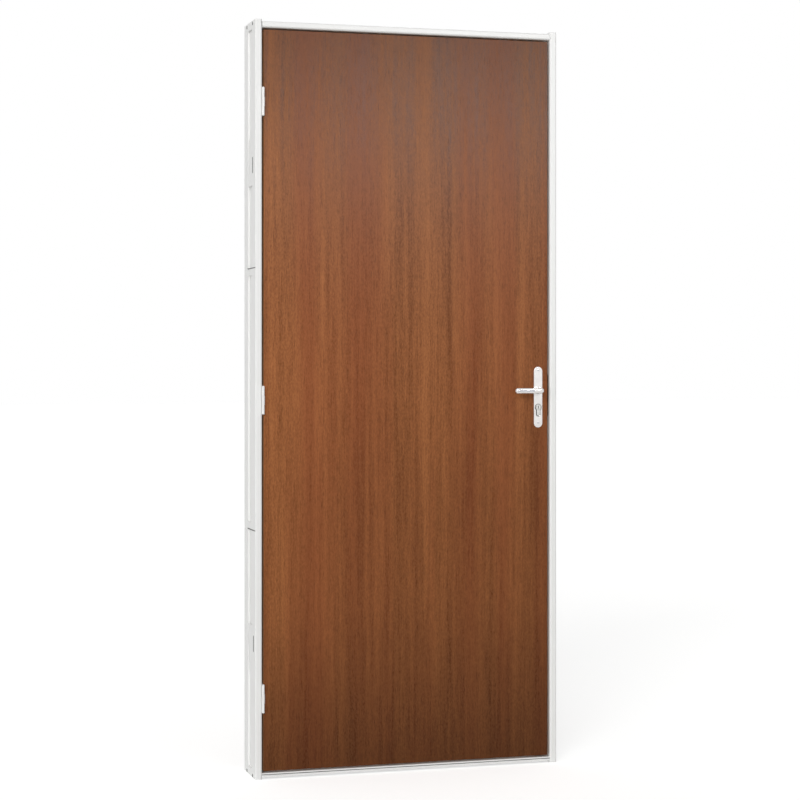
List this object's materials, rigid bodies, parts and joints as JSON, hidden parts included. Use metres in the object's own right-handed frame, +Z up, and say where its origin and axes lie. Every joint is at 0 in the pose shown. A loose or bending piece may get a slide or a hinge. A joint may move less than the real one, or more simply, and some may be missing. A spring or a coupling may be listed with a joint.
{
  "type": "wooden door in a metal frame",
  "caption": "Flush wooden door leaf on butt hinges in a white metal frame with a low threshold, lever handles on long plates and a profile cylinder lock.",
  "frame": {"origin": "on the hinge jamb's wall side, midway across its front shoulder, at floor level", "axes": "+X from the hinge jamb to the lock jamb, -Y out of the front face, +Z up"},
  "size_m": [0.88, 0.183, 2.09],
  "materials": {
    "frame_white": "satin white powder coat",
    "hinge_white": "gloss white paint",
    "wood_veneer": "satin lacquered reddish-brown veneer",
    "wood_edge": "lacquered solid wood edge",
    "handle_metal": "satin anodised",
    "lock_steel": "brushed",
    "cylinder_metal": "satin nickel plate on brass"
  },
  "bodies": {
    "frame": {"hinge_jamb": "frame_white", "lock_jamb": "frame_white", "head": "frame_white", "threshold": "frame_white", "hinge_stop": "frame_white", "lock_stop": "frame_white", "head_stop": "frame_white", "strike_plate": "lock_steel", "hinge_jamb_upper_tie": "frame_white", "hinge_jamb_lower_tie": "frame_white", "hinge_jamb_upper_anchor": "frame_white", "hinge_jamb_lower_anchor": "frame_white", "lock_jamb_upper_tie": "frame_white", "lock_jamb_lower_tie": "frame_white", "lock_jamb_upper_anchor": "frame_white", "lock_jamb_lower_anchor": "frame_white", "upper_hinge_jamb_plate": "hinge_white", "upper_hinge_pin": "hinge_white", "middle_hinge_jamb_plate": "hinge_white", "middle_hinge_pin": "hinge_white", "lower_hinge_jamb_plate": "hinge_white", "lower_hinge_pin": "hinge_white"},
    "leaf": {"front_skin": "wood_veneer", "back_skin": "wood_veneer", "hinge_stile": "wood_edge", "lock_stile": "wood_edge", "top_rail": "wood_edge", "bottom_rail": "wood_edge", "lock_faceplate": "lock_steel", "lock_case": "lock_steel", "latch_bolt": "lock_steel", "dead_bolt": "lock_steel", "lock_cylinder": "cylinder_metal", "front_plate": "handle_metal", "back_plate": "handle_metal", "upper_hinge_door_plate": "hinge_white", "middle_hinge_door_plate": "hinge_white", "lower_hinge_door_plate": "hinge_white"},
    "lever_set": {"front_lever": "handle_metal", "back_lever": "handle_metal", "spindle": "lock_steel"}
  },
  "joints": [
    {"name": "leaf_swing", "type": "hinge", "parent": "frame", "child": "leaf", "pos_m": [0.022, -0.023, 0], "axis": [0, 0, -1], "range_deg": [0, 170]},
    {"name": "lever_turn", "type": "hinge", "parent": "leaf", "child": "lever_set", "pos_m": [0.825, 0.004, 1.065], "axis": [0, -1, 0], "range_deg": [0, 40], "stiffness_Nm_per_rad": 1.5, "springref_deg": -22.92}
  ]
}
